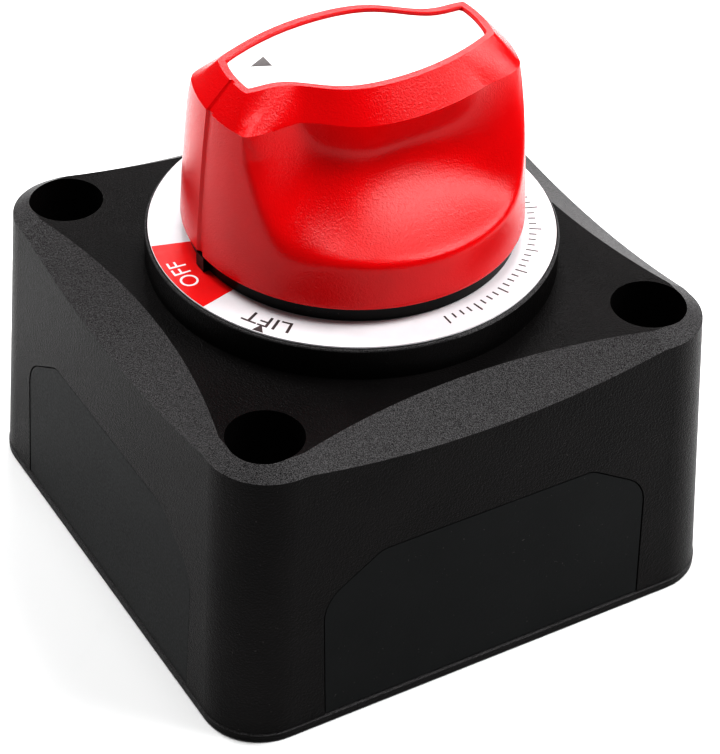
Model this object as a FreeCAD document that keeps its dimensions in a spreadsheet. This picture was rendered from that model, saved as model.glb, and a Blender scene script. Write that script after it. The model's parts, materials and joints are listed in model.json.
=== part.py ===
"""Rotary battery isolator switch for a boat: a square surface-mount case, a lift-off red knob,
and inside the case the rotor, contact bridge and terminal studs. All sizes are millimetres.

Frame: origin in the middle of the underside, +Z up along the knob's axis. The OFF mark and the
knob's pointer lie towards -X. Turning the knob by -90 degrees about +Z brings it to ON.
"""

import FreeCAD, Part
import math
import os
import re

import Sketcher
from FreeCAD import Vector

DRIVING_SIZES = [
    # the case
    ("case_half", 34.5, "half width of the case at its lower edge"),
    ("case_draft", 2.78, "draft of the side walls, degrees"),
    ("case_corner", 7.45, "radius of the four upright edges"),
    ("case_foot", 1.2, "height of the case's lower edge above the surface"),
    ("deck_top", 39.2, "height of the flat deck"),
    ("deck_skin", 2.5, "thickness of the deck"),
    ("wall", 3.0, "thickness of the side walls"),
    ("edge_run", 2.2, "chamfer round the deck, across"),
    ("edge_slope", 34.0, "slope of the chamfer and of the scallops, degrees"),
    ("scallop_reach", 27.2, "deck edge in the middle of a side, from the centre"),
    ("scallop_radius", 152.0, "radius of the shallow scallop in each deck edge"),
    ("scallop_half", 31.0, "half width of the scallop's cutter"),
    ("scallop_clear", 9.0, "height of the scallop's cutter"),
    ("turret_radius", 25.0, "round step that carries the dial"),
    ("turret_top", 43.4, "height of that step"),
    ("turret_edge", 0.35, "rounding of that step"),
    ("turret_room", 22.5, "radius of the hollow under the step"),
    ("turret_roof", 41.3, "roof of that hollow"),
    ("shaft_hole", 16.6, "radius of the hole the rotor's hub turns in"),
    ("hole_pitch", 51.8, "distance between mounting holes"),
    ("hole_radius", 2.75, "clearance hole for an M5 screw"),
    ("well_radius", 4.57, "radius of the screw head's well"),
    ("well_floor", 6.0, "height of the well's floor"),
    ("post_inner", 19.5, "inner face of the corner posts"),
    ("screw_post_x", 12.0, "block screws and their posts, across"),
    ("screw_post_y", 24.0, "block screws and their posts, along"),
    ("screw_post_radius", 3.4, "radius of a post"),
    ("screw_hole", 1.55, "radius of the screw's hole"),
    # side panels
    ("window_half", 22.35, "half width of a cable window"),
    ("window_top_half", 14.5, "half width of its top edge"),
    ("window_shoulder", 18.5, "height where its top corners start"),
    ("window_top", 23.4, "height of its top edge"),
    ("window_rounding", 5.0, "rounding of the corners at that height"),
    ("window_top_rounding", 3.0, "rounding of the ends of its top edge"),
    ("panel_gap", 0.15, "gap between a panel and its window"),
    ("panel_thick", 2.8, "thickness of a panel"),
    # rear cover
    ("cover_half", 34.6, "half width of the rear cover"),
    ("cover_corner", 7.5, "radius of the cover's corners"),
    ("cover_edge", 0.3, "chamfer of the cover's upper edge"),
    ("cover_reach", 30.9, "half width of the case's inside at its lower edge"),
    ("cover_gap", 0.25, "gap between the cover's rim and the case"),
    ("rim_height", 1.5, "height of the rim that locates the cover in the case"),
    ("rim_wall", 1.6, "thickness of that rim beside the posts"),
    ("rim_end", 4.4, "thickness of that rim beside the panels"),
    # contact block, studs and their hardware
    ("block_floor", 22.0, "underside of the contact block"),
    ("block_top", 27.0, "top of the contact block"),
    ("block_gap", 0.5, "gap between the block and the case"),
    ("rib_half", 1.2, "half thickness of the rib between the terminals"),
    ("rib_foot", 8.0, "lower edge of that rib"),
    ("rib_reach", 17.0, "half length of that rib"),
    ("stud_offset", 14.0, "terminal studs, from the centre"),
    ("stud_radius", 5.0, "M10 terminal stud"),
    ("stud_hole", 5.08, "hole for a stud in the block"),
    ("stud_end", 4.6, "lower end of a stud"),
    ("stud_lead", 0.8, "chamfer at that end"),
    ("stud_free", 4.0, "length of plain thread below the nut"),
    ("stud_core", 4.4, "radius of the thread's core inside the nut"),
    ("stud_head", 7.5, "radius of a stud's contact head"),
    ("head_edge", 0.5, "chamfer of that head"),
    ("contact_plane", 29.5, "top of the stud heads"),
    ("washer_radius", 10.0, "flat washer"),
    ("washer_thick", 2.0, "thickness of the flat washer"),
    ("lock_radius", 9.05, "spring washer"),
    ("lock_thick", 2.2, "thickness of the spring washer"),
    ("lock_gap", 1.2, "gap in the spring washer"),
    ("hardware_bore", 5.06, "bore of the washers"),
    ("nut_gap", 0.06, "gap between a nut and the thread's core"),
    ("nut_flats", 17.0, "width across flats of an M10 nut"),
    ("nut_thick", 8.0, "thickness of the nut"),
    ("nut_edge", 1.0, "height of its turned-off corners"),
    ("screw_radius", 1.5, "block screw"),
    ("screw_head", 3.0, "radius of its head"),
    ("screw_head_thick", 2.2, "thickness of its head"),
    ("screw_tip", 34.0, "height of its tip"),
    ("screw_gap", 0.2, "clearance round a screw in the block"),
    # rotor and what turns with it
    ("hub_radius", 16.52, "hub, running in the case's hole"),
    ("disc_radius", 21.8, "disc that holds the rotor down"),
    ("disc_floor", 38.4, "underside of the disc"),
    ("disc_top", 41.2, "top of the disc"),
    ("drum_radius", 11.5, "drum that presses on the contact bridge"),
    ("drum_floor", 33.6, "underside of the drum"),
    ("neck_radius", 13.0, "neck that carries the pointer collar"),
    ("collar_floor", 43.75, "underside of the pointer collar"),
    ("collar_top", 45.66, "top of the pointer collar"),
    ("collar_radius", 19.85, "pointer collar"),
    ("collar_gap", 0.05, "gap between the collar and the neck"),
    ("pointer_reach", 20.6, "tip of the pointer"),
    ("pointer_half", 0.9, "half width of the pointer"),
    ("ring_groove", 14.9, "floor radius of the sealing ring's groove"),
    ("ring_level", 42.35, "height of the sealing ring"),
    ("ring_radius", 15.75, "centre line radius of the sealing ring"),
    ("ring_section", 0.8, "half thickness of the sealing ring"),
    ("ring_gap", 0.1, "gap above and below the sealing ring"),
    ("drive_top", 60.0, "top of the drive key"),
    ("drive_radius", 5.5, "round part of the drive key"),
    ("drive_half", 12.5, "half length of the drive key's blade"),
    ("blade_half", 2.6, "half thickness of that blade"),
    ("bridge_half", 20.0, "half length of the contact bridge"),
    ("bridge_side", 4.5, "half width of the contact bridge"),
    ("bridge_thick", 3.0, "thickness of the contact bridge"),
    ("bridge_lift", 0.05, "clearance over the stud heads"),
    ("bridge_corner", 2.7, "rounding of the bridge's corners"),
    ("cheek_gap", 0.15, "gap between the bridge and the drum's cheeks"),
    ("cheek_foot", 30.2, "lower edge of the cheeks"),
    ("cheek_half", 1.2, "half thickness of a cheek"),
    ("cheek_reach", 8.05, "half length of a cheek"),
    ("spring_offset", 6.5, "contact springs, from the centre"),
    ("spring_pocket", 2.8, "radius of a contact spring's pocket"),
    ("spring_radius", 2.2, "coil radius of a contact spring"),
    ("spring_wire", 0.35, "half thickness of its wire"),
    ("spring_top", 42.6, "roof of a contact spring's pocket"),
    ("detent_offset", 18.6, "detent balls, from the centre"),
    ("detent_boss", 2.9, "radius of the boss under a detent"),
    ("detent_pocket", 1.62, "radius of a detent's pocket"),
    ("detent_floor", 35.5, "floor of that pocket"),
    ("detent_skin", 1.2, "thickness under that floor"),
    ("ball_radius", 1.5, "detent ball"),
    ("ball_level", 39.72, "height of the ball's centre"),
    ("detent_coil", 1.15, "coil radius of the detent spring"),
    ("detent_wire", 0.2, "half thickness of its wire"),
    ("dimple_radius", 1.1, "radius of a detent's dimple"),
    ("dimple_deep", 0.5, "depth of that dimple"),
    # dial
    ("dial_inner", 17.3, "inner radius of the dial"),
    ("dial_outer", 24.6, "outer radius of the dial"),
    ("dial_thick", 0.2, "thickness of the dial"),
    # knob
    ("knob_floor", 45.76, "lower edge of the knob"),
    ("knob_radius", 20.66, "radius of the knob at its lower edge"),
    ("knob_lean", 0.0408, "how fast the knob narrows at its foot"),
    ("knob_curl", 0.00183, "how that narrowing grows upwards"),
    ("knob_shoulder", 65.0, "where the top bevel starts"),
    ("knob_top", 68.2, "top of the knob"),
    ("bevel_run", 2.9, "width of the top bevel"),
    ("waist", 11.75, "half thickness of the grip at the shoulder"),
    ("waist_tuck", 3.0, "how much deeper the finger scoop goes"),
    ("scoop_deepest", 57.5, "height of its deepest point"),
    ("scoop_foot", 51.6, "height where the scoop leaves the rim, at the middle of a side"),
    ("scoop_foot_rise", 1.5, "how much higher it would leave at the ends"),
    ("scoop_flare", 9.5, "height of the flare at the scoop's foot"),
    ("knob_room", 17.8, "radius of the hollow under the knob"),
    ("knob_room_top", 48.6, "roof of that hollow"),
    ("socket_top", 60.6, "roof of the drive socket"),
    ("socket_gap", 0.15, "clearance round the drive key"),
    ("label_rim", 0.95, "width of the rim round the knob's label"),
    ("label_sunk", 0.4, "depth of the label below the rim"),
    ("label_thick", 0.5, "thickness of the label"),
    ("label_gap", 0.05, "gap round the label"),
]

# How far an adding or cutting tool runs past a face it has to cross.
PAST = "1"
# How close a measured edge or face has to be to the place it is looked for.
NEAR = 1.0
SAME = 1e-3

# Turn of the rotor from OFF to each other detent, in degrees about +Z.
TURN_TO_ON = -90.0
TURN_TO_LIFT = 34.0

ALIASES = {alias for alias, _, _ in DRIVING_SIZES}

doc = FreeCAD.newDocument("battery_switch")
sheet = doc.addObject("Spreadsheet::Sheet", "Sizes")
nodes = []


def fill_sheet():
    for row, (alias, value, meaning) in enumerate(DRIVING_SIZES, start=1):
        sheet.set(f"A{row}", str(value))
        sheet.setAlias(f"A{row}", alias)
        sheet.set(f"B{row}", meaning)
    doc.recompute()


def size(alias):
    return float(sheet.get(alias))


def linked(text):
    """Turn a formula of aliases, such as 'deck_top - wall', into one that reads the sheet."""
    return re.sub(r"[a-z]\w*", lambda word: "Sizes." + word[0] if word[0] in ALIASES else word[0], text)


def worth(text):
    return float(sheet.evalExpression(text))


def bind(thing, **formulas):
    for prop, text in formulas.items():
        thing.setExpression(prop.replace("__", "."), linked(text))


def new_body(name):
    body = doc.addObject("PartDesign::Body", name)
    body.Label = name
    nodes.append(body)
    return body


def origin_of(body, role):
    return next(feature for feature in body.Origin.OriginFeatures if feature.Role == role)


def attach(feature, body, role, across="0", up="0", out="0"):
    """Lay a feature on an origin plane, shifted in the plane and along its normal."""
    feature.AttachmentSupport = (origin_of(body, role), [""])
    feature.MapMode = "FlatFace"
    bind(feature, AttachmentOffset__Base__x=across, AttachmentOffset__Base__y=up,
         AttachmentOffset__Base__z=out)


def outline(body, name, role, corners, out="0"):
    """Draw a closed polygon whose corners are pairs of formulas."""
    sketch = body.newObject("Sketcher::SketchObject", name)
    attach(sketch, body, role, out=out)
    points = [Vector(worth(x), worth(y), 0) for x, y in corners]
    for start, end in zip(points, points[1:] + points[:1]):
        sketch.addGeometry(Part.LineSegment(start, end), False)
    for index, corner in enumerate(corners):
        sketch.addConstraint(Sketcher.Constraint("Coincident", index, 2, (index + 1) % len(corners), 1))
        for kind, axis, text in (("DistanceX", -2, corner[0]), ("DistanceY", -1, corner[1])):
            if text == "0":
                sketch.addConstraint(Sketcher.Constraint("PointOnObject", index, 1, axis))
                continue
            number = sketch.addConstraint(Sketcher.Constraint(kind, -1, 1, index, 1, worth(text)))
            sketch.setExpression(f"Constraints[{number}]", linked(text))
    return sketch


def pad(body, sketch, length, taper=None):
    feature = body.newObject("PartDesign::Pad", "Pad")
    feature.Profile = sketch
    bind(feature, Length=length)
    if taper:
        bind(feature, TaperAngle=taper)
    return feature


def pocket(body, sketch, length, backwards=False):
    feature = body.newObject("PartDesign::Pocket", "Pocket")
    feature.Profile = sketch
    feature.Reversed = backwards
    bind(feature, Length=length)
    return feature


def turned(body, name, profile):
    """Revolve a closed profile of (radius, height) formulas about the upright axis."""
    sketch = outline(body, name + "_profile", "XZ_Plane", profile)
    feature = body.newObject("PartDesign::Revolution", name)
    feature.Profile = sketch
    feature.ReferenceAxis = (sketch, ["V_Axis"])
    feature.Angle = 360
    return feature


def groove(body, name, profile):
    sketch = outline(body, name + "_profile", "XZ_Plane", profile)
    feature = body.newObject("PartDesign::Groove", name)
    feature.Profile = sketch
    feature.ReferenceAxis = (sketch, ["V_Axis"])
    feature.Angle = 360
    return feature


def cylinder(body, kind, radius, floor, height, across="0", along="0"):
    feature = body.newObject(f"PartDesign::{kind}Cylinder", kind + "Cylinder")
    attach(feature, body, "XY_Plane", across, along, floor)
    bind(feature, Radius=radius, Height=height)
    return feature


def block(body, kind, half_x, half_y, floor, height, across="0", along="0"):
    """Add or cut a box centred on (across, along), standing on floor."""
    feature = body.newObject(f"PartDesign::{kind}Box", kind + "Box")
    attach(feature, body, "XY_Plane", f"{across} - ({half_x})", f"{along} - ({half_y})", floor)
    bind(feature, Length=f"2 * ({half_x})", Width=f"2 * ({half_y})", Height=height)
    return feature


def ring_of(body, features, count, angle=360.0):
    feature = body.newObject("PartDesign::PolarPattern", "Ring")
    feature.Originals = features
    feature.Axis = (origin_of(body, "Z_Axis"), [""])
    feature.Angle = angle
    feature.Occurrences = count
    body.Tip = feature
    return feature


def edge_names(shape, wanted):
    return [f"Edge{index}" for index, edge in enumerate(shape.Edges, start=1) if wanted(edge)]


def fillet(body, base, radius, wanted):
    doc.recompute()
    feature = body.newObject("PartDesign::Fillet", "Fillet")
    feature.Base = (base, edge_names(base.Shape, wanted))
    bind(feature, Radius=radius)
    return feature


def is_upright(edge):
    ends = [vertex.Point for vertex in edge.Vertexes]
    return len(ends) == 2 and abs(ends[0].z - ends[1].z) > 0.5 * edge.Length


def starts_at(height):
    """A test for the edges whose lowest point lies at one height."""
    return lambda edge: abs(edge.BoundBox.ZMin - size(height)) < SAME


def square(half):
    return [(f"-({half})", f"-({half})"), (half, f"-({half})"), (half, half), (f"-({half})", half)]


def cross_outline(arm, reach):
    """A plus shape: the case's inside between its four corner posts."""
    arm_back, reach_back = f"-({arm})", f"-({reach})"
    right = [(reach, arm_back), (reach, arm), (arm, arm), (arm, reach)]
    left = [(arm_back, reach), (arm_back, arm), (reach_back, arm), (reach_back, arm_back)]
    front = [(arm_back, arm_back), (arm_back, reach_back), (arm, reach_back), (arm, arm_back)]
    return right + left + front


# Share of the gap by which a corner between an upright or level side and the slanted one moves.
SLANT_SHARE = 0.4


def window_outline(gap):
    """The cable window's outline on the wall, drawn smaller by gap all round."""
    side = f"window_half - {gap}"
    top = f"window_top_half - {SLANT_SHARE} * {gap}"
    foot = f"case_foot + {gap}" if gap != "0" else "0 - wall"
    shoulder = f"window_shoulder - {SLANT_SHARE} * {gap}"
    return [(f"-({side})", foot), (side, foot), (side, shoulder), (top, f"window_top - {gap}"),
            (f"-({top})", f"window_top - {gap}"), (f"-({side})", shoulder)]


def lean_on_wall(sketch):
    """Lean an XZ sketch so that it lies in the drafted front wall's outer face."""
    bind(sketch, AttachmentOffset__Base__z="case_half")
    sketch.setExpression("AttachmentOffset.Rotation.Axis.x", "1")
    sketch.setExpression("AttachmentOffset.Rotation.Axis.z", "0")
    sketch.setExpression("AttachmentOffset.Rotation.Angle", "0 - Sizes.case_draft")


def window_corner(half, height):
    """A test for the edges that run through the wall at one pair of a window's corners."""
    def wanted(edge):
        middle = edge.CenterOfMass
        side = min(abs(middle.x), abs(middle.y))
        reach = max(abs(middle.x), abs(middle.y))
        at_corner = abs(side - size(half)) < NEAR and abs(middle.z - size(height)) < NEAR
        return at_corner and reach > size("case_half") - 2 * size("wall") and edge.Length < 2 * size("wall")
    return wanted


def round_window(body, base, gap):
    """Round a window's four upper corners, or those of the panel that fills it less its gap."""
    for corner, radius in ((("window_half", "window_shoulder"), "window_rounding"),
                           (("window_top_half", "window_top"), "window_top_rounding")):
        base = fillet(body, base, f"{radius} - {gap}", window_corner(*corner))


def make_housing():
    """The case: drafted walls, scalloped deck edge, turret, corner posts, wells and windows."""
    body = new_body("housing")
    shell = pad(body, outline(body, "foot", "XY_Plane", square("case_half"), out="case_foot"),
                "deck_top - case_foot", "0 - case_draft")
    rounded = fillet(body, shell, "case_corner", is_upright)
    doc.recompute()
    edge = body.newObject("PartDesign::Chamfer", "DeckEdge")
    edge.Base = (rounded, edge_names(rounded.Shape, starts_at("deck_top")))
    edge.ChamferType = "Two distances"
    bind(edge, Size="edge_run", Size2="edge_run * tan(edge_slope * 1 deg)")
    edge.FlipDirection = True
    doc.recompute()

    scallop = body.newObject("Sketcher::SketchObject", "scallop")
    scallop.AttachmentSupport = (origin_of(body, "XZ_Plane"), [""])
    scallop.MapMode = "FlatFace"
    scallop.setExpression("AttachmentOffset.Base.y", "Sizes.deck_top")
    scallop.setExpression("AttachmentOffset.Base.z", "Sizes.scallop_reach")
    scallop.setExpression("AttachmentOffset.Rotation.Axis.x", "1")
    scallop.setExpression("AttachmentOffset.Rotation.Axis.z", "0")
    scallop.setExpression("AttachmentOffset.Rotation.Angle", "Sizes.edge_slope")
    draw_scallop(scallop)
    cut = body.newObject("PartDesign::Pocket", "ScallopCut")
    cut.Profile = scallop
    cut.Midplane = True
    bind(cut, Length="2 * case_half")
    body.Tip = cut
    ring_of(body, [cut], 4)

    skin_floor = "deck_top - deck_skin"
    turret = cylinder(body, "Additive", "turret_radius", skin_floor, f"turret_top - ({skin_floor})")
    fillet(body, turret, "turret_edge", starts_at("turret_top"))
    doc.recompute()

    inside = outline(body, "inside", "XY_Plane", cross_outline("post_inner", "cover_reach"), out="0")
    pocket(body, inside, skin_floor, backwards=True)
    cylinder(body, "Subtractive", "turret_room", "deck_top - wall", "turret_roof - deck_top + wall")
    cylinder(body, "Subtractive", "shaft_hole", "turret_roof - wall", "turret_top - turret_roof + 2 * wall")
    corner = ("hole_pitch / 2", "hole_pitch / 2")
    well = cylinder(body, "Subtractive", "well_radius", "well_floor", "deck_top", *corner)
    ring_of(body, [well], 4)
    hole = cylinder(body, "Subtractive", "hole_radius", "0", "deck_top", *corner)
    ring_of(body, [hole], 4)

    window = outline(body, "window", "XZ_Plane", window_outline("0"))
    lean_on_wall(window)
    opening = pocket(body, window, "4 * wall")
    opening.Midplane = True
    round_window(body, ring_of(body, [opening], 4), "0")
    doc.recompute()

    for across, along in post_places():
        cylinder(body, "Additive", "screw_post_radius", "block_top", f"{skin_floor} - block_top + {PAST}",
                 across, along)
        cylinder(body, "Subtractive", "screw_hole", f"block_top - {PAST}", f"{skin_floor} - block_top",
                 across, along)
    for turn in (0.0, 180.0, TURN_TO_ON, TURN_TO_ON + 180.0, TURN_TO_LIFT, TURN_TO_LIFT + 180.0):
        dimple(body, turn)


def post_places():
    """Where the contact block's screws stand."""
    sides = ("screw_post_x", "0 - screw_post_x")
    ends = ("screw_post_y", "0 - screw_post_y")
    return [(across, along) for across in sides for along in ends]


def draw_scallop(sketch):
    """A segment bounded below by a shallow arc that touches the middle of the deck's edge."""
    radius = size("scallop_radius")
    half = size("scallop_half")
    rise = radius - math.sqrt(radius**2 - half**2)
    clear = size("scallop_clear")
    left = Vector(-half, rise, 0)
    right = Vector(half, rise, 0)
    arc = sketch.addGeometry(Part.Arc(left, Vector(0, 0, 0), right), False)
    start, end = (1, 2) if (sketch.Geometry[arc].StartPoint - left).Length < SAME else (2, 1)
    up = sketch.addGeometry(Part.LineSegment(right, Vector(half, clear, 0)), False)
    over = sketch.addGeometry(Part.LineSegment(Vector(half, clear, 0), Vector(-half, clear, 0)), False)
    down = sketch.addGeometry(Part.LineSegment(Vector(-half, clear, 0), left), False)
    rule = Sketcher.Constraint
    for first, first_end, second, second_end in ((arc, end, up, 1), (up, 2, over, 1), (over, 2, down, 1),
                                                 (down, 2, arc, start)):
        sketch.addConstraint(rule("Coincident", first, first_end, second, second_end))
    sketch.addConstraint(rule("Vertical", up))
    sketch.addConstraint(rule("Vertical", down))
    sketch.addConstraint(rule("Horizontal", over))
    sketch.addConstraint(rule("PointOnObject", arc, 3, -2))
    for kind, geometry, point, text in (("DistanceY", arc, 3, "scallop_radius"),
                                        ("DistanceX", up, 2, "scallop_half"),
                                        ("DistanceY", up, 2, "scallop_clear")):
        number = sketch.addConstraint(rule(kind, -1, 1, geometry, point, worth(text)))
        sketch.setExpression(f"Constraints[{number}]", linked(text))
    number = sketch.addConstraint(rule("Radius", arc, radius))
    sketch.setExpression(f"Constraints[{number}]", linked("scallop_radius"))
    number = sketch.addConstraint(rule("DistanceX", -1, 1, down, 1, -half))
    sketch.setExpression(f"Constraints[{number}]", "0 - Sizes.scallop_half")


def dimple(body, turn):
    """A conical dimple in the turret's roof, where a detent ball would click in."""
    feature = body.newObject("PartDesign::SubtractiveCone", "Dimple")
    feature.AttachmentSupport = (origin_of(body, "XY_Plane"), [""])
    feature.MapMode = "FlatFace"
    bind(feature, Radius1="dimple_radius", Radius2="0.1 * dimple_radius", Height="dimple_deep",
         AttachmentOffset__Base__z="turret_roof")
    feature.setExpression("AttachmentOffset.Base.x", f"Sizes.detent_offset * cos({turn} * 1 deg)")
    feature.setExpression("AttachmentOffset.Base.y", f"Sizes.detent_offset * sin({turn} * 1 deg)")


def make_side_panel(name, turn):
    """A pull-out plate that closes one cable window, flush with the drafted wall."""
    body = new_body(name)
    plate = outline(body, "plate", "XZ_Plane", window_outline("panel_gap"))
    lean_on_wall(plate)
    board = pad(body, plate, "panel_thick")
    board.Reversed = True
    round_window(body, board, "panel_gap")
    body.Placement = FreeCAD.Placement(Vector(0, 0, 0), FreeCAD.Rotation(Vector(0, 0, 1), turn))


def make_rear_cover():
    """A flat cover over the open back of the case."""
    body = new_body("rear_cover")
    plate = pad(body, outline(body, "plate", "XY_Plane", square("cover_half")), "case_foot")
    rounded = fillet(body, plate, "cover_corner", is_upright)
    doc.recompute()
    edge = body.newObject("PartDesign::Chamfer", "UpperEdge")
    edge.Base = (rounded, edge_names(rounded.Shape, starts_at("case_foot")))
    bind(edge, Size="cover_edge")
    hole = cylinder(body, "Subtractive", "hole_radius", f"0 - {PAST}", f"case_foot + 2 * {PAST}",
                    "hole_pitch / 2", "hole_pitch / 2")
    ring_of(body, [hole], 4)


def make_cover_rim():
    """The low rim on the rear cover that locates it between the case's posts."""
    body = new_body("cover_rim")
    outer = cross_outline("post_inner - cover_gap", "cover_reach - cover_gap")
    inner = cross_outline("post_inner - cover_gap - rim_wall", "cover_reach - cover_gap - rim_end")
    pad(body, outline(body, "rim", "XY_Plane", outer, out="case_foot"), "rim_height")
    pocket(body, outline(body, "hollow", "XY_Plane", inner, out="case_foot"), "rim_height", backwards=True)


def make_contact_block():
    """The insulating base that holds both studs, with a rib between them."""
    body = new_body("contact_block")
    base = outline(body, "base", "XY_Plane", cross_outline("post_inner - block_gap", "case_half - 2 * wall"),
                   out="block_floor")
    pad(body, base, "block_top - block_floor")
    block(body, "Additive", "rib_half", "rib_reach", "rib_foot", f"block_floor - rib_foot + {PAST}")
    through = (f"block_floor - {PAST}", f"block_top - block_floor + 2 * {PAST}")
    for across in ("stud_offset", "0 - stud_offset"):
        cylinder(body, "Subtractive", "stud_hole", *through, across)
    for across, along in post_places():
        cylinder(body, "Subtractive", "screw_hole + screw_gap", *through, across, along)


def stand_at(body, across):
    body.setExpression("Placement.Base.x", linked(across))


def make_terminal(side, across):
    """One M10 stud with its contact head, flat washer, spring washer and nut."""
    under_washer = "block_floor - washer_thick"
    under_lock = f"{under_washer} - lock_thick"
    free_top = "stud_end + stud_lead + stud_free"
    stud = new_body(f"terminal_stud_{side}")
    turned(stud, "Stud", [("0", "stud_end"), ("stud_radius - stud_lead", "stud_end"),
                          ("stud_radius", "stud_end + stud_lead"), ("stud_radius", free_top),
                          ("stud_core", free_top), ("stud_core", under_lock), ("stud_radius", under_lock),
                          ("stud_radius", "block_top"), ("stud_head", "block_top"),
                          ("stud_head", "contact_plane - head_edge"),
                          ("stud_head - head_edge", "contact_plane"), ("0", "contact_plane")])
    washer = new_body(f"flat_washer_{side}")
    turned(washer, "Washer", [("hardware_bore", under_washer), ("washer_radius", under_washer),
                              ("washer_radius", "block_floor"), ("hardware_bore", "block_floor")])
    lock = new_body(f"spring_washer_{side}")
    turned(lock, "Lock", [("hardware_bore", under_lock), ("lock_radius", under_lock),
                          ("lock_radius", under_washer), ("hardware_bore", under_washer)])
    block(lock, "Subtractive", "lock_radius / 2", "lock_gap / 2", f"{under_lock} - {PAST}",
          f"lock_thick + 2 * {PAST}", "(lock_radius + hardware_bore) / 2")
    for piece in (stud, washer, lock):
        stand_at(piece, across)
    make_nut(f"terminal_nut_{side}", across, under_lock)


def make_nut(name, across, top):
    """A hexagon nut under the spring washer, with its lower corners turned off."""
    body = new_body(name)
    floor = f"{top} - nut_thick"
    flat = "nut_flats / 2"
    corner = "nut_flats / 2 / cos(30 deg)"
    half = "nut_flats / 4 / cos(30 deg)"
    hexagon = [(corner, "0"), (half, flat), (f"-({half})", flat), (f"-({corner})", "0"),
               (f"-({half})", f"-({flat})"), (half, f"-({flat})")]
    pad(body, outline(body, "hexagon", "XY_Plane", hexagon, out=floor), "nut_thick")
    cylinder(body, "Subtractive", "stud_core + nut_gap", f"{floor} - {PAST}", f"nut_thick + 2 * {PAST}")
    outer = f"{corner} + {PAST}"
    groove(body, "LowerCorners", [(flat, floor), (outer, floor), (outer, f"{floor} + nut_edge")])
    stand_at(body, across)


def make_block_screws():
    """Four self-tapping screws that hold the contact block to the case."""
    screws = []
    for across in (1, -1):
        for along in (1, -1):
            shank = doc.addObject("Part::Cylinder", "ScrewShank")
            bind(shank, Radius="screw_radius", Height="screw_tip - block_floor",
                 Placement__Base__z="block_floor")
            head = doc.addObject("Part::Cylinder", "ScrewHead")
            bind(head, Radius="screw_head", Height="screw_head_thick",
                 Placement__Base__z="block_floor - screw_head_thick")
            for cylinder_part in (shank, head):
                cylinder_part.setExpression("Placement.Base.x", f"{across} * Sizes.screw_post_x")
                cylinder_part.setExpression("Placement.Base.y", f"{along} * Sizes.screw_post_y")
            screw = doc.addObject("Part::Fuse", "Screw")
            screw.Base = shank
            screw.Tool = head
            screws.append(screw)
    group = doc.addObject("Part::Compound", "block_screws")
    group.Label = "block_screws"
    group.Links = screws
    nodes.append(group)


def make_rotor():
    """Hub, disc, drum and drive key in one moulding."""
    body = new_body("rotor")
    turned(body, "Core", [("0", "drum_floor"), ("drum_radius", "drum_floor"),
                          ("drum_radius", "disc_floor"), ("disc_radius", "disc_floor"),
                          ("disc_radius", "disc_top"), ("hub_radius", "disc_top"),
                          ("hub_radius", "collar_floor"), ("neck_radius", "collar_floor"),
                          ("neck_radius", "collar_top"), ("drive_radius", "collar_top"),
                          ("drive_radius", "drive_top"), ("0", "drive_top")])
    block(body, "Additive", "drive_half", "blade_half", f"collar_top - {PAST}",
          f"drive_top - collar_top + {PAST}")
    under_ring = "ring_level - ring_section - ring_gap"
    over_ring = "ring_level + ring_section + ring_gap"
    groove(body, "SealGroove", [("ring_groove", under_ring), (f"hub_radius + {PAST}", under_ring),
                                (f"hub_radius + {PAST}", over_ring), ("ring_groove", over_ring)])
    for side in ("", "0 - "):
        block(body, "Additive", "cheek_half", "cheek_reach", "cheek_foot",
              f"drum_floor - cheek_foot + {PAST}", f"{side}(bridge_side + cheek_gap + cheek_half)")
        cylinder(body, "Subtractive", "spring_pocket", f"drum_floor - {PAST}",
                 f"spring_top - drum_floor + {PAST}", "0", f"{side}spring_offset")
        cylinder(body, "Additive", "detent_boss", "detent_floor - detent_skin",
                 f"disc_floor - detent_floor + detent_skin + {PAST}", f"{side}detent_offset")
        cylinder(body, "Subtractive", "detent_pocket", "detent_floor", f"disc_top - detent_floor + {PAST}",
                 f"{side}detent_offset")


def make_pointer_collar():
    """The black collar under the knob, with the small pointer towards OFF."""
    body = new_body("pointer_collar")
    bore = "neck_radius + collar_gap"
    turned(body, "Collar", [(bore, "collar_floor"), ("collar_radius", "collar_floor"),
                            ("collar_radius", "collar_top"), (bore, "collar_top")])
    block(body, "Additive", f"(pointer_reach - neck_radius - {PAST}) / 2", "pointer_half", "collar_floor",
          "collar_top - collar_floor", f"0 - (pointer_reach + neck_radius + {PAST}) / 2")


def make_seal_ring():
    ring = doc.addObject("Part::Torus", "seal_ring")
    ring.Label = "seal_ring"
    bind(ring, Radius1="ring_radius", Radius2="ring_section", Placement__Base__z="ring_level")
    nodes.append(ring)


def make_contact_bridge():
    """The copper bar that joins both studs at ON and lies across them at OFF."""
    body = new_body("contact_bridge")
    block(body, "Additive", "bridge_side", "bridge_half", "contact_plane + bridge_lift", "bridge_thick")
    fillet(body, body.Tip, "bridge_corner", is_upright)


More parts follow.
